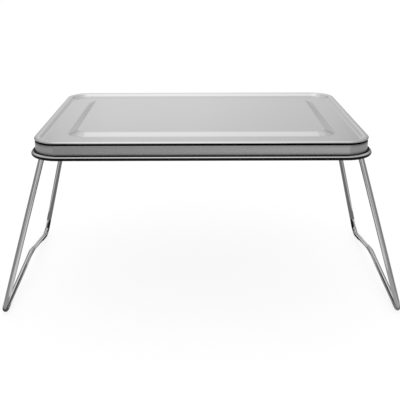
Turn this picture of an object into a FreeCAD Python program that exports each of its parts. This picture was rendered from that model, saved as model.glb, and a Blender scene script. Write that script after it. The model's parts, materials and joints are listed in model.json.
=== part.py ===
import FreeCAD, Part
import math
import os

# A low folding table: a pressed steel tray on two legs of bent wire that fold up under it.
# Millimetres and degrees. X runs left to right, Y front to back, and Z up from the floor.

# Overall sizes
rim_length = 350.0            # over the rolled edge, left to right
rim_depth = 250.0             # over the rolled edge, front to back
rim_corner_radius = 30.0      # plan radius, outside the rolled edge
table_height = 200.0          # floor to the top of the rim
apron_depth = 19.0            # top of the rim down to the underside of the rolled edge

# Pressed tray, with each bend radius taken on the inside of the bend
sheet = 0.6
rim_rise = 3.4                # rim above the flat border
rim_slope = 45.0              # inner face of the rim
rim_foot_bend = 2.0
rim_shoulder_bend = 3.4       # both sides of the crown
rim_top = 1.3                 # level top of the crown
rim_fall = 12.0               # slope of the crown where it meets the lip
lip_bend = 0.5                # tight outer edge of the rim, and the edge below the groove
lip_overhang = 0.4            # lip proud of the apron's face
groove_run = 0.8              # level run from the lip into the groove
groove_bend = 0.8             # half the height of the groove below the lip
border_width = 20.8           # flat border between the rim and the raised middle
plateau_rise = 3.4
plateau_slope = 22.0
plateau_foot_bend = 8.0
plateau_edge_bend = 4.0
plateau_corner_radius = 10.0  # plan radius at the top of the slope

# Lower edge of the tray, rolled round a stiffening wire
rim_wire = 3.6                # diameter
rim_wire_clearance = 0.1      # radial, between the wire and the rolled sheet
roll_lip_gap = 0.3            # cut edge of the roll to the apron

# Legs
leg_wire = 6.0                # diameter
leg_splay = 16.0              # open leg from the upright
stop_gap = 0.3                # open leg to the inside of the rolled edge, its stop
leg_top_width = 146.0         # between wire centres over the top bends
foot_width = 221.0            # between wire centres over the feet
bar_lift = 22.0               # clear height under the middle of the floor bar
top_bend = 9.0                # centre-line radii
foot_bend = 9.0
bar_bend = 15.0
stub_overhang = 3.0           # hinge stub past its strap
stub_chamfer = 0.6

# Hinge straps, spot-welded under the border
strap = 1.0                   # strip thickness
strap_width = 24.0
strap_tail = 19.5             # hinge axis to the end of the tail
strap_wrap = 290.0            # turn of the strip round the stub
hinge_clearance = 0.05        # radial running fit
strap_side_gap = 1.0          # strap to the start of the leg's bend
weld_mark = 4.0               # diameter of a spot weld's flat dent
weld_mark_depth = 0.2

# Places that follow from the sizes
half_sheet = sheet / 2
core_x = rim_length / 2 - rim_corner_radius
core_y = rim_depth / 2 - rim_corner_radius
border_z = table_height - rim_rise - half_sheet
roll_inside = rim_wire / 2 + rim_wire_clearance
roll_outside = roll_inside + sheet
roll_middle = roll_inside + half_sheet
roll_radius = rim_corner_radius - roll_outside
roll_z = table_height - apron_depth + roll_outside
apron_radius = roll_radius - roll_middle

splay_sin = math.sin(math.radians(leg_splay))
splay_cos = math.cos(math.radians(leg_splay))
leg_radius = leg_wire / 2
hinge_z = border_z - half_sheet - strap - hinge_clearance - leg_radius
stop_distance = leg_radius + roll_outside + stop_gap
hinge_x = core_x + roll_radius - (stop_distance + (hinge_z - roll_z) * splay_sin) / splay_cos
stub_start = leg_top_width / 2 - top_bend
strap_outer = stub_start - strap_side_gap
stub_end = strap_outer - strap_width - stub_overhang

upright = FreeCAD.Vector(0, 0, 1)
middle = FreeCAD.Vector(0, 0, 0)


# A vector in the XZ plane, at an angle from X towards Z.
def polar(angle, length=1.0):
    turn = math.radians(angle)
    return FreeCAD.Vector(length * math.cos(turn), 0, length * math.sin(turn))


# Centre of a bend that leaves a point, and the bend's radius at mid-strip, negative to the right.
def bend_centre(point, heading, inside, turn, thickness):
    radius = math.copysign(inside + thickness / 2, turn)
    return point + polar(heading + 90, radius), radius


# Stations along a bent strip. A move is (length, 0) for a straight run or (inside radius, turn).
def follow(point, heading, moves, thickness):
    stations = [(point, heading)]
    for size, turn in moves:
        if turn:
            centre, radius = bend_centre(point, heading, size, turn, thickness)
            heading += turn
            point = centre - polar(heading + 90, radius)
        else:
            point = point + polar(heading, size)
        stations.append((point, heading))
    return stations


# The section of a bent strip, as a face in the XZ plane.
def strip_section(start, heading, moves, thickness):
    stations = follow(start, heading, moves, thickness)
    edges = []
    ends = {}
    for shift in (thickness / 2, -thickness / 2):
        line = [point + polar(angle + 90, shift) for point, angle in stations]
        ends[shift] = (line[0], line[-1])
        for i, (size, turn) in enumerate(moves):
            point, angle = stations[i]
            if turn:
                centre, radius = bend_centre(point, angle, size, turn, thickness)
                bulge = centre - polar(angle + turn / 2 + 90, radius - shift)
                edges.append(Part.Arc(line[i], bulge, line[i + 1]).toShape())
            else:
                edges.append(Part.LineSegment(line[i], line[i + 1]).toShape())
    for left, right in zip(*ends.values()):
        edges.append(Part.LineSegment(left, right).toShape())
    return Part.Face(Part.Wire(Part.__sortEdges__(edges)))


# Straight run that makes up a height between two opposite bends of the same turn.
def slope_run(rise, slope, first_bend, second_bend):
    turn = math.radians(slope)
    bends = (first_bend + second_bend + sheet) * (1 - math.cos(turn))
    return (rise - bends) / math.sin(turn)


# Carries a section, drawn outwards along X, round a rectangle with rounded corners.
def sweep_round(section, half_x, half_y):
    centres = [(half_x, half_y), (-half_x, half_y), (-half_x, -half_y), (half_x, -half_y)]
    corners = [FreeCAD.Vector(x, y, 0) for x, y in centres]
    runs = []
    for i, corner in enumerate(corners):
        face = section.copy()
        face.rotate(middle, upright, 90 * i)
        face.translate(corner)
        runs.append(face.revolve(corner, upright, 90))
        face.rotate(corner, upright, 90)
        runs.append(face.extrude(corners[(i + 1) % 4] - corner))
    return runs


# A level plate with rounded corners, given by its corner centres and radius.
def plate(half_x, half_y, radius, z):
    outline = Part.makePlane(2 * (half_x + radius), 2 * (half_y + radius))
    outline.translate(FreeCAD.Vector(-half_x - radius, -half_y - radius, z - half_sheet))
    solid = outline.extrude(upright * sheet)
    corners = [edge for edge in solid.Edges if edge.BoundBox.ZLength > half_sheet]
    return solid.makeFillet(radius, corners)


def tray_top():
    # From the border up over the crown, round the lip, and into the groove and out again.
    rim_run = slope_run(rim_rise, rim_slope, rim_foot_bend, rim_shoulder_bend)
    rim_moves = [
        (rim_foot_bend, rim_slope),
        (rim_run, 0),
        (rim_shoulder_bend, -rim_slope),
        (rim_top, 0),
        (rim_shoulder_bend, -rim_fall),
        (lip_bend, rim_fall - 180),
        (groove_run, 0),
        (groove_bend, 180),
        (groove_run - lip_overhang, 0),
        (lip_bend, -90),
    ]
    reach = follow(middle, 0, rim_moves, sheet)[-1][0]
    rim_foot = FreeCAD.Vector(apron_radius - reach.x, 0, border_z)

    # Straight down the apron and round the wire, to just short of the apron again.
    seam_angle = math.degrees(math.acos((roll_inside - roll_lip_gap) / roll_outside))
    apron_moves = [
        (border_z + reach.z - roll_z, 0),
        (roll_inside, 180),
        (roll_inside, 180 - seam_angle),
    ]
    rim_section = strip_section(rim_foot, 0, rim_moves + apron_moves, sheet)

    # From the border in and up to the raised middle.
    plateau_run = slope_run(plateau_rise, plateau_slope, plateau_foot_bend, plateau_edge_bend)
    plateau_moves = [
        (plateau_foot_bend, -plateau_slope),
        (plateau_run, 0),
        (plateau_edge_bend, plateau_slope),
    ]
    slope_reach = follow(middle, 180, plateau_moves, sheet)[-1][0]
    plateau_foot = FreeCAD.Vector(plateau_corner_radius - slope_reach.x, 0, border_z)
    slope_section = strip_section(plateau_foot, 180, plateau_moves, sheet)
    inset = rim_foot.x - border_width - plateau_foot.x
    plateau_x = core_x + inset
    plateau_y = core_y + inset

    border = plate(core_x, core_y, rim_foot.x, border_z)
    border = border.cut(plate(plateau_x, plateau_y, plateau_foot.x, border_z))
    plateau = plate(plateau_x, plateau_y, plateau_corner_radius, border_z + plateau_rise)
    runs = sweep_round(rim_section, core_x, core_y) + sweep_round(slope_section, plateau_x, plateau_y)
    return border.multiFuse(runs + [plateau]).removeSplitter()


def rim_stiffener():
    circle = Part.makeCircle(rim_wire / 2, FreeCAD.Vector(roll_radius, 0, roll_z), FreeCAD.Vector(0, 1, 0))
    runs = sweep_round(Part.Face(Part.Wire(circle)), core_x, core_y)
    return runs[0].multiFuse(runs[1:]).removeSplitter()


# Ends of the straight run from one bend to the next. A bend to the right has a negative radius.
def straight_between(centre_a, radius_a, centre_b, radius_b):
    across = centre_b - centre_a
    lean = math.asin((radius_b - radius_a) / across.Length)
    heading = math.atan2(across.y, across.x) - lean
    left = FreeCAD.Vector(-math.sin(heading), math.cos(heading), 0)
    return centre_a - left * radius_a, centre_b - left * radius_b


# Middle of a bend of less than half a turn.
def bend_middle(centre, start, end):
    out = (start - centre) + (end - centre)
    return centre + out * ((start - centre).Length / out.Length)


# Centre line of a leg in its own plane: X along the hinge axis, Y up from it.
def leg_line():
    foot_drop = (hinge_z - leg_radius) / splay_cos
    bar_drop = (hinge_z - leg_radius - bar_lift) / splay_cos
    top = FreeCAD.Vector(stub_start, -top_bend, 0)
    foot = FreeCAD.Vector(foot_width / 2 - foot_bend, foot_bend - foot_drop, 0)
    crown = FreeCAD.Vector(0, -bar_drop - bar_bend, 0)
    bend_start = FreeCAD.Vector(stub_start, 0, 0)
    post_top, post_foot = straight_between(top, -top_bend, foot, -foot_bend)
    bar_foot, bar_crown = straight_between(foot, -foot_bend, crown, bar_bend)
    bar_middle = FreeCAD.Vector(0, -bar_drop, 0)
    return [
        (FreeCAD.Vector(stub_end, 0, 0), bend_start),
        (bend_start, bend_middle(top, bend_start, post_top), post_top),
        (post_top, post_foot),
        (post_foot, bend_middle(foot, post_foot, bar_foot), bar_foot),
        (bar_foot, bar_crown),
        (bar_crown, bend_middle(crown, bar_crown, bar_middle), bar_middle),
    ]


def leg():
    edges = []
    for side in (1, -1):
        for points in leg_line():
            places = []
            for p in points:
                x = hinge_x - p.y * splay_sin
                places.append(FreeCAD.Vector(x, side * p.x, hinge_z + p.y * splay_cos))
            curve = Part.Arc(*places) if len(places) == 3 else Part.LineSegment(*places)
            edges.append(curve.toShape())
    path = Part.Wire(Part.__sortEdges__(edges))
    start = FreeCAD.Vector(hinge_x, stub_end, hinge_z)
    circle = Part.makeCircle(leg_radius, start, FreeCAD.Vector(0, 1, 0))
    rod = path.makePipe(Part.Face(Part.Wire(circle)))
    rims = [edge for edge in rod.Edges if abs(abs(edge.CenterOfMass.y) - stub_end) < stub_chamfer / 2
            and edge.BoundBox.YLength < stub_chamfer / 2]
    return rod.makeChamfer(stub_chamfer, rims)


# Strip folded round the stub, with its tail flat under the border, for the rear right hinge.
def hinge_strap():
    tail_end = FreeCAD.Vector(hinge_x - strap_tail, 0, border_z - half_sheet - strap / 2)
    moves = [
        (strap_tail, 0),
        (leg_radius + hinge_clearance, -strap_wrap / 2),
        (leg_radius + hinge_clearance, -strap_wrap / 2),
    ]
    section = strip_section(tail_end, 0, moves, strap)
    section.translate(FreeCAD.Vector(0, strap_outer - strap_width, 0))
    body = section.extrude(FreeCAD.Vector(0, strap_width, 0))
    weld_x = tail_end.x + (strap_tail - leg_radius) / 2
    for share in (0.25, 0.75):
        weld = FreeCAD.Vector(weld_x, strap_outer - share * strap_width, tail_end.z - strap / 2)
        tip = weld_mark / 2 - weld_mark_depth
        body = body.cut(Part.makeCone(weld_mark / 2, tip, weld_mark_depth, weld, upright))
    return body


def turned(shape, angle):
    copy = shape.copy()
    copy.rotate(middle, upright, angle)
    return copy


def mirrored_in_y(shape):
    return shape.mirror(middle, FreeCAD.Vector(0, 1, 0))


right_leg = leg()
rear_right = hinge_strap()
front_right = mirrored_in_y(rear_right)
parts = {
    "tray_top": tray_top(),
    "rim_wire": rim_stiffener(),
    "right_leg": right_leg,
    "left_leg": turned(right_leg, 180),
    "rear_right_hinge_strap": rear_right,
    "front_right_hinge_strap": front_right,
    "rear_left_hinge_strap": turned(front_right, 180),
    "front_left_hinge_strap": turned(rear_right, 180),
}

os.makedirs("parts", exist_ok=True)
for name, shape in parts.items():
    shape.exportStep("parts/" + name + ".step")
    print(name, len(shape.Solids), "solid", round(shape.Volume), "mm3", shape.isValid())
print("hinge axis at x", round(hinge_x, 3), "z", round(hinge_z, 3))
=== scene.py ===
import json
import math

import bmesh
import bpy
from mathutils import Matrix, Vector


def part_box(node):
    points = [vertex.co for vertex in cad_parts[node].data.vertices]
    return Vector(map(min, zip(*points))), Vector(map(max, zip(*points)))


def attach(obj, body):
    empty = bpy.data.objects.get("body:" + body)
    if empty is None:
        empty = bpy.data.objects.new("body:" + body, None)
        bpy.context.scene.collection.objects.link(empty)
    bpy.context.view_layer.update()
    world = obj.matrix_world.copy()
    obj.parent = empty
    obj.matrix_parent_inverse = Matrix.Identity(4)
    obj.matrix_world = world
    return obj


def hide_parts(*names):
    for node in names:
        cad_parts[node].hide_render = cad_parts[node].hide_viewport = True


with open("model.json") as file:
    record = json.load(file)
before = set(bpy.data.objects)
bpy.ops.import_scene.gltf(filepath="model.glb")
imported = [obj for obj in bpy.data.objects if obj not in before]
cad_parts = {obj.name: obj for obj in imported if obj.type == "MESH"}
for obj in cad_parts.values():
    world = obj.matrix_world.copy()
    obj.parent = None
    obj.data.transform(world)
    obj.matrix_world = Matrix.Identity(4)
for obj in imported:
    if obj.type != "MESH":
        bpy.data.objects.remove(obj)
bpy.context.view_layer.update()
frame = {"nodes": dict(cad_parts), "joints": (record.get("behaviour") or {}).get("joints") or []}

mm = 0.001
noiseLow, noiseHigh = 0.3, 0.7  # most values of a noise texture lie between these
scene = bpy.context.scene
scene.view_settings.view_transform = "Standard"


def linear(hexColour):  # sRGB hex to linear RGBA
    channels = [int(hexColour[i:i + 2], 16) / 255 for i in (1, 3, 5)]
    return [c / 12.92 if c <= 0.04045 else ((c + 0.055) / 1.055) ** 2.4 for c in channels] + [1.0]


def addNode(tree, kind, inputs=None, **settings):  # an input is a socket to link or a value to set
    node = tree.nodes.new(kind)
    for name, value in settings.items():
        setattr(node, name, value)
    for key, value in (inputs or {}).items():
        if isinstance(value, bpy.types.NodeSocket):
            tree.links.new(value, node.inputs[key])
        else:
            node.inputs[key].default_value = value
    return node


def newMaterial(name):  # an empty material tree, and its output node
    material = bpy.data.materials.new(name)
    material.use_nodes = True
    material.node_tree.nodes.clear()
    return material, material.node_tree, addNode(material.node_tree, "ShaderNodeOutputMaterial")


# Stainless sheet, drawn and satin finished along its length. Broad soft reflections with faint
# hairlines. The rolled edge is burnished by its tool. Painted shade darkens the groove, the seam
# and shoulder of the roll, the apron's foot and the lower half of the roll.
def satinStainlessSheet():
    look = {  # lengths in mm
        "steel": "#CDCDCD",
        "steelDull": "#CACACA",
        # painted shade for the groove, the roll's seam and shoulder, and the apron's foot
        "paintedShade": "#161616",
        "underside": "#1C1C1C",  # painted shade on the lower half of the roll
        "hairlineAcross": 0.8,   # coarser than the real 0.1 mm so that it shows
        "hairlineAlong": 90.0,
        "hairlineHeight": 0.0006,
        "waveAcross": 120.0,     # slow unevenness of pressed sheet
        "waveHeight": 0.03,
        "roughSatin": 0.13,
        "roughSpread": 0.03,
        "roughRolled": 0.12,
        "roughPaintedShade": 0.6,
        "roughPaintedUnderShade": 0.45,
        "rolledTop": 187.0,      # above the floor
        "rolledBlend": 0.6,
        "undersideTop": 184.9,   # above the floor
        "undersideBlend": 0.6,
    }
    material, tree, output = newMaterial("satin_stainless_sheet")
    place = addNode(tree, "ShaderNodeTexCoord").outputs["Object"]
    across = 1 / (look["hairlineAcross"] * mm)
    along = 1 / (look["hairlineAlong"] * mm)
    stretched = addNode(tree, "ShaderNodeMapping", {
        "Vector": place, "Scale": (along, across, across)})
    hairline = addNode(tree, "ShaderNodeTexNoise", {
        "Vector": stretched.outputs[0], "Scale": 1.0, "Detail": 3.0}).outputs["Fac"]
    wave = addNode(tree, "ShaderNodeTexNoise", {
        "Vector": place, "Scale": 1 / (look["waveAcross"] * mm), "Detail": 1.0}).outputs["Fac"]
    height = addNode(tree, "ShaderNodeSeparateXYZ", {"Vector": place}).outputs["Z"]
    rolled = addNode(tree, "ShaderNodeMapRange", {
        "Value": height, "From Min": look["rolledTop"] * mm,
        "From Max": (look["rolledTop"] - look["rolledBlend"]) * mm}).outputs[0]
    # mask of the painted shade on the roll's lower half
    under = addNode(tree, "ShaderNodeMapRange", {
        "Value": height, "From Min": look["undersideTop"] * mm,
        "From Max": (look["undersideTop"] - look["undersideBlend"]) * mm}).outputs[0]
    # share of painted shade, stored on the tray's points
    creviceShade = addNode(tree, "ShaderNodeAttribute", attribute_name="creviceShade").outputs["Fac"]

    tone = addNode(tree, "ShaderNodeMix", {
        "Factor": hairline, "A": linear(look["steelDull"]), "B": linear(look["steel"])},
        data_type="RGBA")
    shaded = addNode(tree, "ShaderNodeMix", {
        "Factor": under, "A": tone.outputs["Result"], "B": linear(look["underside"])},
        data_type="RGBA")
    # painted shade in the crevices darkens the base colour
    creviceShaded = addNode(tree, "ShaderNodeMix", {
        "Factor": creviceShade, "A": shaded.outputs["Result"], "B": linear(look["paintedShade"])},
        data_type="RGBA")
    satin = addNode(tree, "ShaderNodeMapRange", {
        "Value": hairline, "From Min": noiseLow, "From Max": noiseHigh,
        "To Min": look["roughSatin"] - look["roughSpread"],
        "To Max": look["roughSatin"] + look["roughSpread"]})
    burnished = addNode(tree, "ShaderNodeMix", {
        "Factor": rolled, "A": satin.outputs[0], "B": look["roughRolled"]})
    paintedUnderShadeRough = addNode(tree, "ShaderNodeMix", {
        "Factor": under, "A": burnished.outputs[0], "B": look["roughPaintedUnderShade"]})
    rough = addNode(tree, "ShaderNodeMix", {
        "Factor": creviceShade, "A": paintedUnderShadeRough.outputs[0], "B": look["roughPaintedShade"]})
    ripple = addNode(tree, "ShaderNodeBump", {
        "Height": wave, "Strength": 1.0, "Distance": look["waveHeight"] * mm})
    grain = addNode(tree, "ShaderNodeBump", {
        "Height": hairline, "Strength": 1.0, "Distance": look["hairlineHeight"] * mm,
        "Normal": ripple.outputs[0]})
    steel = addNode(tree, "ShaderNodeBsdfPrincipled", {
        "Base Color": creviceShaded.outputs["Result"], "Metallic": 1.0, "Roughness": rough.outputs[0],
        "Normal": grain.outputs[0]})
    tree.links.new(steel.outputs[0], output.inputs["Surface"])
    return material


# Stainless wire, cold drawn and polished. Sharp light and dark bands run its length, with faint
# die lines.
def polishedWire():
    look = {
        "steel": "#C2C2C2",
        "steelDull": "#B6B6B6",
        "roughPolished": 0.08,
        "roughSpread": 0.02,
        "dieLine": 0.5,  # mm round the wire
        "dieRun": 60.0,  # mm along it
    }
    material, tree, output = newMaterial("polished_drawn_wire")
    around = addNode(tree, "ShaderNodeAttribute", attribute_name="around")
    along = addNode(tree, "ShaderNodeAttribute", attribute_name="along")
    split = addNode(tree, "ShaderNodeSeparateXYZ", {"Vector": around.outputs["Vector"]})
    run = addNode(tree, "ShaderNodeMath", {
        0: along.outputs["Fac"], 1: look["dieLine"] / look["dieRun"]}, operation="MULTIPLY")
    place = addNode(tree, "ShaderNodeCombineXYZ", {
        "X": split.outputs["X"], "Y": split.outputs["Y"], "Z": run.outputs[0]})
    line = addNode(tree, "ShaderNodeTexNoise", {
        "Vector": place.outputs[0], "Scale": 1 / (look["dieLine"] * mm),
        "Detail": 2.0}).outputs["Fac"]
    tone = addNode(tree, "ShaderNodeMix", {
        "Factor": line, "A": linear(look["steelDull"]), "B": linear(look["steel"])},
        data_type="RGBA")
    rough = addNode(tree, "ShaderNodeMapRange", {
        "Value": line, "From Min": noiseLow, "From Max": noiseHigh,
        "To Min": look["roughPolished"] - look["roughSpread"],
        "To Max": look["roughPolished"] + look["roughSpread"]})
    steel = addNode(tree, "ShaderNodeBsdfPrincipled", {
        "Base Color": tone.outputs["Result"], "Metallic": 1.0, "Roughness": rough.outputs[0]})
    tree.links.new(steel.outputs[0], output.inputs["Surface"])
    return material


# Cold-rolled stainless strip, cut and folded. An even dull grey with fine rolling lines, and a
# straw-coloured heat ring round each spot weld.
def rolledStrip():
    look = {  # lengths in mm
        "steel": "#C6C6C6",
        "steelDull": "#B4B4B4",
        "heat": "#A88A5E",
        "heatShare": 0.8,
        "lineAcross": 0.7,
        "lineAlong": 25.0,
        "roughRolled": 0.36,
        "roughSpread": 0.06,
        "weldX": 152.8,  # from the table's middle planes, the same at all four corners
        "weldY": (45.0, 57.0),
        "heatInner": 2.0,  # from the weld's middle
        "heatOuter": 4.2,
    }
    material, tree, output = newMaterial("cold_rolled_strip")
    place = addNode(tree, "ShaderNodeTexCoord").outputs["Object"]
    across = 1 / (look["lineAcross"] * mm)
    along = 1 / (look["lineAlong"] * mm)
    stretched = addNode(tree, "ShaderNodeMapping", {
        "Vector": place, "Scale": (along, across, along)})
    line = addNode(tree, "ShaderNodeTexNoise", {
        "Vector": stretched.outputs[0], "Scale": 1.0, "Detail": 3.0}).outputs["Fac"]
    tone = addNode(tree, "ShaderNodeMix", {
        "Factor": line, "A": linear(look["steelDull"]), "B": linear(look["steel"])},
        data_type="RGBA").outputs["Result"]
    folded = addNode(tree, "ShaderNodeVectorMath", {0: place}, operation="ABSOLUTE")
    level = addNode(tree, "ShaderNodeVectorMath", {0: folded.outputs[0], 1: (1, 1, 0)},
                    operation="MULTIPLY")
    for weldY in look["weldY"]:
        weld = (look["weldX"] * mm, weldY * mm, 0)
        reach = addNode(tree, "ShaderNodeVectorMath", {0: level.outputs[0], 1: weld},
                        operation="DISTANCE")
        heated = addNode(tree, "ShaderNodeMapRange", {
            "Value": reach.outputs["Value"], "From Min": look["heatOuter"] * mm,
            "From Max": look["heatInner"] * mm, "To Max": look["heatShare"]})
        tone = addNode(tree, "ShaderNodeMix", {
            "Factor": heated.outputs[0], "A": tone, "B": linear(look["heat"])},
            data_type="RGBA").outputs["Result"]
    rough = addNode(tree, "ShaderNodeMapRange", {
        "Value": line, "From Min": noiseLow, "From Max": noiseHigh,
        "To Min": look["roughRolled"] - look["roughSpread"],
        "To Max": look["roughRolled"] + look["roughSpread"]})
    steel = addNode(tree, "ShaderNodeBsdfPrincipled", {
        "Base Color": tone, "Metallic": 1.0, "Roughness": rough.outputs[0]})
    tree.links.new(steel.outputs[0], output.inputs["Surface"])
    return material


traySteel = satinStainlessSheet()
wireSteel = polishedWire()
stripSteel = rolledStrip()
print("materials made")


# A tree that carries a section along a curve.
def sectionSweepTree():
    tree = bpy.data.node_groups.new("sectionSweep", "GeometryNodeTree")
    for name, kind in (("Path", "NodeSocketGeometry"), ("Section", "NodeSocketObject"),
                       ("Finish", "NodeSocketMaterial")):
        tree.interface.new_socket(name, in_out="INPUT", socket_type=kind)
    tree.interface.new_socket("Sheet", in_out="OUTPUT", socket_type="NodeSocketGeometry")
    given = addNode(tree, "NodeGroupInput")
    section = addNode(tree, "GeometryNodeObjectInfo", {"Object": given.outputs["Section"]})
    sweep = addNode(tree, "GeometryNodeCurveToMesh", {
        "Curve": given.outputs["Path"], "Profile Curve": section.outputs["Geometry"]})
    smooth = addNode(tree, "GeometryNodeSetShadeSmooth", {"Geometry": sweep.outputs[0]})
    real = addNode(tree, "GeometryNodeRealizeInstances", {"Geometry": smooth.outputs[0]})
    finish = addNode(tree, "GeometryNodeSetMaterial", {
        "Geometry": real.outputs[0], "Material": given.outputs["Finish"]})
    addNode(tree, "NodeGroupOutput", {"Sheet": finish.outputs[0]})
    return tree


# A tree that draws a round wire along a curve, with the run and the turn kept for the die lines.
def bentWireTree():
    tree = bpy.data.node_groups.new("bentWire", "GeometryNodeTree")
    for name, kind in (("Path", "NodeSocketGeometry"), ("Radius", "NodeSocketFloat"),
                       ("Sides", "NodeSocketInt"), ("Finish", "NodeSocketMaterial")):
        tree.interface.new_socket(name, in_out="INPUT", socket_type=kind)
    tree.interface.new_socket("Wire", in_out="OUTPUT", socket_type="NodeSocketGeometry")
    given = addNode(tree, "NodeGroupInput")
    circle = addNode(tree, "GeometryNodeCurvePrimitiveCircle", {
        "Resolution": given.outputs["Sides"], "Radius": given.outputs["Radius"]})
    turn = addNode(tree, "GeometryNodeStoreNamedAttribute", {
        "Geometry": circle.outputs["Curve"], "Name": "around",
        "Value": addNode(tree, "GeometryNodeInputPosition").outputs[0]},
        data_type="FLOAT_VECTOR")
    run = addNode(tree, "GeometryNodeStoreNamedAttribute", {
        "Geometry": given.outputs["Path"], "Name": "along",
        "Value": addNode(tree, "GeometryNodeSplineParameter").outputs["Length"]},
        data_type="FLOAT")
    drawn = addNode(tree, "GeometryNodeCurveToMesh", {
        "Curve": run.outputs[0], "Profile Curve": turn.outputs[0],
        "Scale": addNode(tree, "GeometryNodeInputRadius").outputs[0], "Fill Caps": True})
    smooth = addNode(tree, "GeometryNodeSetShadeSmooth", {"Geometry": drawn.outputs[0]})
    real = addNode(tree, "GeometryNodeRealizeInstances", {"Geometry": smooth.outputs[0]})
    finish = addNode(tree, "GeometryNodeSetMaterial", {
        "Geometry": real.outputs[0], "Material": given.outputs["Finish"]})
    addNode(tree, "NodeGroupOutput", {"Wire": finish.outputs[0]})
    return tree


sectionSweep = sectionSweepTree()
bentWire = bentWireTree()
print("node trees made")


def polyCurve(name, points, closed=False, radii=None):  # points in metres
    curve = bpy.data.curves.new(name, "CURVE")
    curve.dimensions = "3D"
    spline = curve.splines.new("POLY")
    spline.points.add(len(points) - 1)
    for i, point in enumerate(points):
        spline.points[i].co = (*point, 1)
        spline.points[i].radius = radii[i] if radii else 1
    spline.use_cyclic_u = closed
    thing = bpy.data.objects.new(name, curve)
    scene.collection.objects.link(thing)
    return thing


def bakeNodes(thing, tree, values):  # runs the tree on a curve and gives back a plain mesh
    modifier = thing.modifiers.new(tree.name, "NODES")
    modifier.node_group = tree
    for socket in tree.interface.items_tree:
        if socket.in_out == "INPUT" and socket.name in values:
            modifier[socket.identifier] = values[socket.name]
    evaluated = thing.evaluated_get(bpy.context.evaluated_depsgraph_get())
    mesh = bpy.data.meshes.new_from_object(evaluated)
    thing.modifiers.remove(modifier)
    bpy.data.objects.remove(thing)
    return mesh


def finishPiece(name, mesh, node, body):
    sharpFrom = 40  # degrees between faces, so that cut edges and chamfers stay crisp
    mesh.name = name
    mesh.set_sharp_from_angle(angle=math.radians(sharpFrom))
    piece = bpy.data.objects.new(name, mesh)
    scene.collection.objects.link(piece)
    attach(piece, body)
    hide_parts(node)


def heading(angle, length=1.0):  # a step in a section: X outwards, Y up, angles in degrees
    return Vector((math.cos(math.radians(angle)), math.sin(math.radians(angle)))) * length


# One face of a bent strip, how much painted shade it has at each point, and where the strip's
# middle ends. A move is (length, 0, shade) for a straight run or (inside radius, turn, shade) for
# a bend, and shade is how dark the painted shade makes the strip where the move ends.
def stripFace(start, angle, moves, thickness, side):
    shift = side * thickness / 2
    arcStep = 7.5  # degrees
    point = Vector(start)
    face = [point + heading(angle + 90, shift)]
    paintedShades = [0.0]
    for size, turn, paintedShade in moves:
        before = paintedShades[-1]
        if turn:
            radius = math.copysign(size + thickness / 2, turn)
            centre = point + heading(angle + 90, radius)
            steps = math.ceil(abs(turn) / arcStep)
            for i in range(1, steps + 1):
                face.append(centre - heading(angle + turn * i / steps + 90, radius - shift))
                paintedShades.append(before + (paintedShade - before) * i / steps)
            angle += turn
            point = centre - heading(angle + 90, radius)
        else:
            point = point + heading(angle, size)
            face.append(point + heading(angle + 90, shift))
            paintedShades.append(paintedShade)
    return face, paintedShades, point


# A rectangle with rounded corners, counter-clockwise, from its corner centres and radius.
def roundedPath(halfX, halfY, radius):
    cornerSteps = 32
    points = []
    for i, (x, y) in enumerate(((1, 1), (-1, 1), (-1, -1), (1, -1))):
        for step in range(cornerSteps + 1):
            out = heading(90 * (i + step / cornerSteps), radius)
            points.append((x * halfX + out.x, y * halfY + out.y))
    return points


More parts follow.
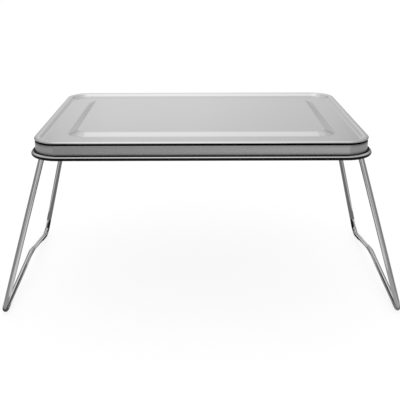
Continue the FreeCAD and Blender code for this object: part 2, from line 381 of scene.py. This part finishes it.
# The pressed tray: its sections are carried round, and the flats are filled in between.
def makeTray():
    low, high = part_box("tray_top")
    size = {  # mm and degrees, as in the CAD section
        "sheet": 0.6, "cornerRadius": 30.0,
        "rimRise": 3.4, "rimSlope": 45.0, "rimFootBend": 2.0, "rimShoulderBend": 3.4,
        "rimTop": 1.3, "rimFall": 12.0,
        "lipBend": 0.5, "lipOverhang": 0.4, "grooveRun": 0.8, "grooveBend": 0.8,
        "borderWidth": 20.8, "plateauRise": 3.4, "plateauSlope": 22.0,
        "plateauFootBend": 8.0, "plateauEdgeBend": 4.0, "plateauCorner": 10.0,
        "rollInside": 1.9, "rollLipGap": 0.3,
        "flatRun": 0.4,          # flat kept with each bend, so that the wide flats shade flat
        # painted shade in the groove, on the apron and on the roll
        "lipShadeTurn": 60.0,     # last of the lip's turn, where it runs into the groove
        "edgeShadeTurn": 60.0,    # first of the turn out of the groove
        "edgeShade": 0.7,         # painted shade left after that
        "apronTopShade": 0.35,    # and where the apron starts
        "grooveShade": 1.5,      # faint painted shade on the apron below the groove
        "footShade": 3.0,        # and above the roll
        "apronFootShade": 0.45,
        "seamShade": 1.2,        # painted shade at the foot of the apron, above the roll's cut edge
        "rollFade": 45.0,        # first of the roll's turn, hidden in the seam
        "rollShade": 40.0,        # up from the level, where the roll starts to darken
        "rollShadeCorner": 74.0,  # painted shade starts higher up the roll at the corners
        "rollShadeBlend": 14.0,
    }
    sheet = size["sheet"]
    coreX = high.x / mm - size["cornerRadius"]
    coreY = high.y / mm - size["cornerRadius"]
    borderZ = high.z / mm - size["rimRise"] - sheet / 2
    rollOutside = size["rollInside"] + sheet
    rollMiddle = size["rollInside"] + sheet / 2
    rollRadius = size["cornerRadius"] - rollOutside
    rollZ = low.z / mm + rollOutside
    apronRadius = rollRadius - rollMiddle

    def slopeRun(rise, slope, bendA, bendB):
        turn = math.radians(slope)
        return (rise - (bendA + bendB + sheet) * (1 - math.cos(turn))) / math.sin(turn)

    # Up over the crown, round the lip, and into the groove and out again.
    rimRun = slopeRun(size["rimRise"], size["rimSlope"],
                      size["rimFootBend"], size["rimShoulderBend"])
    rimMoves = [
        (size["rimFootBend"], size["rimSlope"], 0),
        (rimRun, 0, 0),
        (size["rimShoulderBend"], -size["rimSlope"], 0),
        (size["rimTop"], 0, 0),
        (size["rimShoulderBend"], -size["rimFall"], 0),
        (size["lipBend"], size["rimFall"] + size["lipShadeTurn"] - 180, 0),
        (size["lipBend"], -size["lipShadeTurn"], 1),
        (size["grooveRun"], 0, 1),
        (size["grooveBend"], 180, 1),
        (size["grooveRun"] - size["lipOverhang"], 0, 1),
        (size["lipBend"], -size["edgeShadeTurn"], size["edgeShade"]),
        (size["lipBend"], size["edgeShadeTurn"] - 90, size["apronTopShade"]),
    ]
    reach = stripFace((0, 0), 0, rimMoves, sheet, 0)[2]
    footX = apronRadius - reach.x

    # Down the apron and round the roll, to just short of the apron again.
    seamAngle = math.degrees(math.acos((size["rollInside"] - size["rollLipGap"]) / rollOutside))
    seamZ = rollZ + rollOutside * math.sin(math.radians(seamAngle))
    shades = size["grooveShade"] + size["footShade"] + size["seamShade"]
    apronMoves = [
        (size["grooveShade"], 0, 0),
        (borderZ + reach.y - seamZ - shades, 0, 0),
        (size["footShade"], 0, size["apronFootShade"]),
        (size["seamShade"], 0, 1),
        (seamZ - rollZ, 0, 1),
        (size["rollInside"], size["rollFade"], 0),
        (size["rollInside"], 270 - size["rollFade"], 0),
        (size["rollInside"], 90 - seamAngle, 1),
    ]
    rimMoves = [(size["flatRun"], 0, 0)] + rimMoves + apronMoves
    rimStart = (footX - size["flatRun"], borderZ)
    outer, outerShade, _ = stripFace(rimStart, 0, rimMoves, sheet, 1)
    inner = stripFace(rimStart, 0, rimMoves, sheet, -1)[0]

    def rollShade(start):  # painted shade on the roll, from its shoulder in to the cut edge
        touch = 0.01  # mm or degrees, so that points on the roll's own limits count
        paintedShades = []
        for p in inner:
            out = p - Vector((rollRadius, rollZ))
            turn = math.degrees(math.atan2(out.y, out.x))
            onRoll = out.length < rollOutside + touch and turn < 180 - seamAngle + touch
            share = min(1, max(0, (turn - start) / size["rollShadeBlend"]))
            paintedShades.append(share if onRoll else 0)
        return paintedShades

    alongShade = outerShade + rollShade(size["rollShade"])[::-1]
    cornerShade = outerShade + rollShade(size["rollShadeCorner"])[::-1]

    # From the border in and up to the raised middle.
    plateauRun = slopeRun(size["plateauRise"], size["plateauSlope"],
                          size["plateauFootBend"], size["plateauEdgeBend"])
    plateauMoves = [
        (size["flatRun"], 0, 0),
        (size["plateauFootBend"], -size["plateauSlope"], 0),
        (plateauRun, 0, 0),
        (size["plateauEdgeBend"], size["plateauSlope"], 0),
        (size["flatRun"], 0, 0),
    ]
    slopeReach = stripFace((0, 0), 180, plateauMoves[1:-1], sheet, 0)[2]
    plateauFootX = size["plateauCorner"] - slopeReach.x
    inset = footX - size["borderWidth"] - plateauFootX
    slopeStart = (plateauFootX + size["flatRun"], borderZ)
    slopeTop = stripFace(slopeStart, 180, plateauMoves, sheet, -1)[0]
    slopeUnder = stripFace(slopeStart, 180, plateauMoves, sheet, 1)[0]

    shell = bmesh.new()
    edges = {}
    creviceShades = []
    for name, face, pathX, pathY, radius in (
            ("rim", outer + inner[::-1], coreX, coreY, rollRadius),
            ("slopeTop", slopeTop, coreX + inset, coreY + inset, plateauFootX),
            ("slopeUnder", slopeUnder, coreX + inset, coreY + inset, plateauFootX)):
        section = polyCurve(name + "Section", [((p.x - radius) * mm, -p.y * mm, 0) for p in face])
        ring = roundedPath(pathX, pathY, radius)
        path = polyCurve(name + "Path", [(x * mm, y * mm, 0) for x, y in ring], True)
        mesh = bakeNodes(path, sectionSweep, {"Section": section, "Finish": traySteel})
        first = len(shell.verts)
        shell.from_mesh(mesh)
        shell.verts.ensure_lookup_table()
        for end, k in (("first", 0), ("last", len(face) - 1)):
            edges[name, end] = [shell.verts[first + i * len(face) + k] for i in range(len(ring))]
        corner = len(ring) // 4
        # painted shade of the rim, blended towards its corner values
        for i in range(len(ring)):
            share = math.sin(math.pi * (i % corner) / (corner - 1))  # 1 in the middle of a corner
            paintedShades = [a + (b - a) * share for a, b in zip(alongShade, cornerShade)]
            creviceShades += paintedShades if name == "rim" else [0.0] * len(face)
        bpy.data.objects.remove(section)
        bpy.data.meshes.remove(mesh)

    # The border, above and below, and both sides of the raised middle.
    for a, b in ((edges["rim", "first"], edges["slopeTop", "first"]),
                 (edges["rim", "last"], edges["slopeUnder", "first"])):
        for i in range(len(a)):
            shell.faces.new((a[i - 1], a[i], b[i], b[i - 1]))
    shell.faces.new(edges["slopeTop", "last"])
    shell.faces.new(edges["slopeUnder", "last"])
    bmesh.ops.recalc_face_normals(shell, faces=shell.faces)
    for face in shell.faces:
        face.smooth = True
    openEdges = sum(not edge.is_manifold for edge in shell.edges)
    mesh = bpy.data.meshes.new("tray_shell")
    shell.to_mesh(mesh)
    shell.free()
    mesh.attributes.new("creviceShade", "FLOAT", "POINT").data.foreach_set("value", creviceShades)
    mesh.materials.append(traySteel)
    print("tray: faces", len(mesh.polygons), "open edges", openEdges)
    finishPiece("tray_shell", mesh, "tray_top", "tray")


# One bent wire: post, foot, floor bar with a raised middle, and back to the hinge stubs at both
# top ends. It is drawn flat, with X along the hinge and Y up the leg, and then leant out.
def makeLeg(side, node, body):
    size = {  # mm and degrees
        "wire": 6.0, "splay": 16.0, "topWidth": 146.0, "footWidth": 221.0, "barLift": 22.0,
        "topBend": 9.0, "footBend": 9.0, "barBend": 15.0, "stubEnd": 36.0, "stubChamfer": 0.6,
        "sides": 40, "arcStep": 4.0,
    }
    joint = next(j for j in frame["joints"] if j["child"] == body)
    hinge = Vector(joint["pos_m"]) / mm
    radius = size["wire"] / 2
    lean = math.radians(size["splay"])
    drop = (hinge.z - radius) / math.cos(lean)
    barDrop = (hinge.z - radius - size["barLift"]) / math.cos(lean)
    stubStart = size["topWidth"] / 2 - size["topBend"]
    top = Vector((stubStart, -size["topBend"]))
    foot = Vector((size["footWidth"] / 2 - size["footBend"], size["footBend"] - drop))
    crown = Vector((0, -barDrop - size["barBend"]))

    def straight(centreA, radiusA, centreB, radiusB):  # ends of the run that touches two bends
        across = centreB - centreA
        turn = math.atan2(across.y, across.x) - math.asin((radiusB - radiusA) / across.length)
        left = Vector((-math.sin(turn), math.cos(turn)))
        return centreA - left * radiusA, centreB - left * radiusB

    def bend(centre, start, end):
        a, b = start - centre, end - centre
        turn = a.angle_signed(b)
        steps = math.ceil(abs(math.degrees(turn)) / size["arcStep"])
        return [centre + Matrix.Rotation(-turn * i / steps, 2) @ a for i in range(steps + 1)]

    postTop, postFoot = straight(top, -size["topBend"], foot, -size["footBend"])
    barFoot, barCrown = straight(foot, -size["footBend"], crown, size["barBend"])
    half = [Vector((size["stubEnd"], 0)), Vector((size["stubEnd"] + size["stubChamfer"], 0))]
    half += bend(top, Vector((stubStart, 0)), postTop)
    half += bend(foot, postFoot, barFoot)
    half += bend(crown, barCrown, Vector((0, -barDrop)))
    line = half + [Vector((-p.x, p.y)) for p in half[-2::-1]]
    points = []
    for p in line:
        x = side * (abs(hinge.x) - p.y * math.sin(lean))
        z = hinge.z + p.y * math.cos(lean)
        points.append(Vector((x, p.x, z)) * mm)
    radii = [1.0] * len(points)
    radii[0] = radii[-1] = 1 - size["stubChamfer"] / radius
    path = polyCurve(node + "Path", points, radii=radii)
    mesh = bakeNodes(path, bentWire, {
        "Radius": radius * mm, "Sides": size["sides"], "Finish": wireSteel})
    print(node, "faces", len(mesh.polygons))
    finishPiece(node + "_wire", mesh, node, body)


makeTray()
makeLeg(-1, "left_leg", "left_leg_frame")
makeLeg(1, "right_leg", "right_leg_frame")
for name, node in frame["nodes"].items():  # the straps and the rim wire keep their solids
    if name.endswith("hinge_strap") or name == "rim_wire":
        node.material_slots[0].material = stripSteel
print("pieces made")


# Camera at the photograph's place, worked out for a frame of 400 x 400.
def makeCamera():
    view = {  # mm and radians
        "place": (-4.2, -760.8, 379.3), "yaw": 0.0038, "pitch": 0.3597, "roll": -0.0018,
        "focalPixels": 669.9, "framePixels": 400, "sensor": 36.0,
    }
    camera = bpy.data.objects.new("camera", bpy.data.cameras.new("camera"))
    scene.collection.objects.link(camera)
    camera.data.sensor_width = view["sensor"]
    camera.data.lens = view["focalPixels"] * view["sensor"] / view["framePixels"]
    place = Matrix.Translation(Vector(view["place"]) * mm)
    tilt = Matrix.Rotation(math.pi / 2 - view["pitch"], 4, "X")
    aim = Matrix.Rotation(-view["yaw"], 4, "Z") @ tilt
    camera.matrix_world = place @ aim @ Matrix.Rotation(view["roll"], 4, "Z")
    scene.camera = camera


# Rays that see the white of the floor: from the camera, and in gloss or glass.
def seenRays(tree):
    path = addNode(tree, "ShaderNodeLightPath")
    both = addNode(tree, "ShaderNodeMath", {
        0: path.outputs["Is Camera Ray"], 1: path.outputs["Is Glossy Ray"]}, operation="MAXIMUM")
    return addNode(tree, "ShaderNodeMath", {
        0: both.outputs[0], 1: path.outputs["Is Transmission Ray"]},
        operation="MAXIMUM").outputs[0]


def flatCard(name, corners, material):
    mesh = bpy.data.meshes.new(name)
    mesh.from_pydata(corners, [], [(0, 1, 2, 3)])
    mesh.materials.append(material)
    card = bpy.data.objects.new(name, mesh)
    scene.collection.objects.link(card)
    return card


# Pale floor: part of its white is its own, so the table's shadow stays faint.
def makeFloor():
    look = {"paint": "#838383", "white": 0.815, "reach": 8.0}  # reach in metres
    material, tree, output = newMaterial("pale_floor")
    paint = addNode(tree, "ShaderNodeBsdfDiffuse", {"Color": linear(look["paint"])})
    lift = addNode(tree, "ShaderNodeMath", {0: seenRays(tree), 1: look["white"]},
                   operation="MULTIPLY")
    glow = addNode(tree, "ShaderNodeEmission", {"Strength": lift.outputs[0]})
    both = addNode(tree, "ShaderNodeAddShader", {0: paint.outputs[0], 1: glow.outputs[0]})
    tree.links.new(both.outputs[0], output.inputs["Surface"])
    r = look["reach"]
    flatCard("floor", [(-r, -r, 0), (r, -r, 0), (r, r, 0), (-r, r, 0)], material)


# Grey cards round the table and in its shade, which give bright metal its darker bands. Only
# reflections show them. A card with z stands, and the others lie on the floor or at their height.
def makeCards():
    floorGap = 0.001  # metres
    cards = {  # metres, and lean is the rise in level for each metre to the right
        # before the table, for the apron, the front posts and the front feet
        "front": {"level": 0.435, "lean": 0.3, "x": (-1.2, 1.2), "y": (-1.8, -0.55)},
        "frontRight": {"level": 0.62, "x": (0.12, 0.3), "y": (-0.55, -0.03)},
        "frontLeft": {"level": 0.5, "x": (-0.3, -0.18), "y": (-0.4, -0.1)},
        # shade under the feet and the tray
        "leftFoot": {"level": 0.12, "x": (-0.235, -0.2), "y": (-0.1155, -0.09), "height": 0.002},
        "rightFoot": {"level": 0.3, "x": (0.2, 0.235), "y": (-0.1155, -0.09), "height": 0.002},
        "underFront": {"level": 0.2, "x": (-0.2, 0.2), "y": (-0.07, 0.01), "height": 0.002},
        "under": {"level": 0.28, "x": (-0.25, 0.25), "y": (-0.05, 0.2), "height": 0.024},
        "rearFeet": {"level": 0.02, "x": (-0.24, 0.24), "y": (0.085, 0.14)},
        # between the legs and at both sides, for the edges of the posts
        "middle": {"level": 0.12, "x": (-0.185, 0.185), "y": (0.0, 0.0), "z": (0.04, 0.17)},
        "left": {"level": 0.4, "x": (-0.36, -0.36), "y": (-0.6, 0.3), "z": (0.0, 0.24)},
        "right": {"level": 0.4, "x": (0.36, 0.36), "y": (-0.6, 0.3), "z": (0.0, 0.24)},
    }
    for name, card in cards.items():
        material, tree, output = newMaterial(name + "_card")
        grey = addNode(tree, "ShaderNodeEmission", {"Strength": card["level"]})
        if "lean" in card:
            place = addNode(tree, "ShaderNodeTexCoord").outputs["Object"]
            across = addNode(tree, "ShaderNodeSeparateXYZ", {"Vector": place}).outputs["X"]
            graded = addNode(tree, "ShaderNodeMath", {
                0: across, 1: card["lean"], 2: card["level"]}, operation="MULTIPLY_ADD")
            tree.links.new(graded.outputs[0], grey.inputs["Strength"])
        below = 0.0
        if "height" in card:  # a raised card shows from above only
            below = addNode(tree, "ShaderNodeNewGeometry").outputs["Backfacing"]
        clear = addNode(tree, "ShaderNodeBsdfTransparent")
        oneSided = addNode(tree, "ShaderNodeMixShader", {
            0: below, 1: grey.outputs[0], 2: clear.outputs[0]})
        tree.links.new(oneSided.outputs[0], output.inputs["Surface"])
        (x0, x1), (y0, y1) = card["x"], card["y"]
        if "z" in card:
            low, high = card["z"]
            corners = [(x0, y0, low), (x1, y1, low), (x1, y1, high), (x0, y0, high)]
        else:
            z = card.get("height", floorGap)
            corners = [(x0, y0, z), (x1, y0, z), (x1, y1, z), (x0, y1, z)]
        board = flatCard(name + "Card", corners, material)
        board.visible_camera = False
        board.visible_diffuse = False
        board.visible_shadow = False


# The room, by the direction's height, side and depth: dimmer low down and at the sides, brighter
# overhead and behind the camera, a little brighter on the left, and with a dimmer belt half-way
# up at the back. A stop is a direction and its level, and the three levels are multiplied.
def makeLight():
    look = {
        "Z": ((0.0, 0.63), (0.07, 0.76), (0.17, 0.84), (0.22, 0.88), (0.275, 0.8), (0.33, 0.86),
              (0.45, 1.22), (0.6, 1.3), (0.86, 1.25), (1.0, 1.4)),
        "X": ((-0.6, 0.6), (-0.38, 0.78), (-0.3, 0.83), (-0.25, 0.72), (-0.2, 0.93),
              (-0.13, 1.01), (0.0, 1.0), (0.13, 0.91), (0.2, 0.86), (0.25, 0.67), (0.3, 0.8),
              (0.38, 0.74), (0.6, 0.56)),
        "Y": ((-1.0, 1.4), (-0.4, 1.0), (0.6, 1.0), (0.7, 0.78), (0.88, 0.78), (0.93, 1.0),
              (1.0, 1.0)),
    }
    curveTop = 2.0  # the curves end at 1, so they hold each level as a share of this
    world = bpy.data.worlds.new("studio")
    scene.world = world
    world.use_nodes = True
    tree = world.node_tree
    tree.nodes.clear()
    direction = addNode(tree, "ShaderNodeTexCoord").outputs["Generated"]
    axes = addNode(tree, "ShaderNodeSeparateXYZ", {"Vector": direction})
    level = curveTop ** len(look)
    for axis, stops in look.items():
        start, end = stops[0][0], stops[-1][0]
        share = addNode(tree, "ShaderNodeMapRange", {
            "Value": axes.outputs[axis], "From Min": start, "From Max": end})
        ramp = addNode(tree, "ShaderNodeFloatCurve", {"Value": share.outputs[0]})
        curve = ramp.mapping.curves[0]
        while len(curve.points) < len(stops):
            curve.points.new(0.5, 0.5)
        for point, (at, value) in zip(curve.points, stops):
            point.location = ((at - start) / (end - start), value / curveTop)
            point.handle_type = "VECTOR"
        ramp.mapping.update()
        level = addNode(tree, "ShaderNodeMath", {0: ramp.outputs[0], 1: level},
                        operation="MULTIPLY").outputs[0]
    room = addNode(tree, "ShaderNodeBackground", {"Color": (1, 1, 1, 1), "Strength": level})
    addNode(tree, "ShaderNodeOutputWorld", {"Surface": room.outputs[0]})


makeCamera()
makeFloor()
makeCards()
makeLight()
print("stage made")
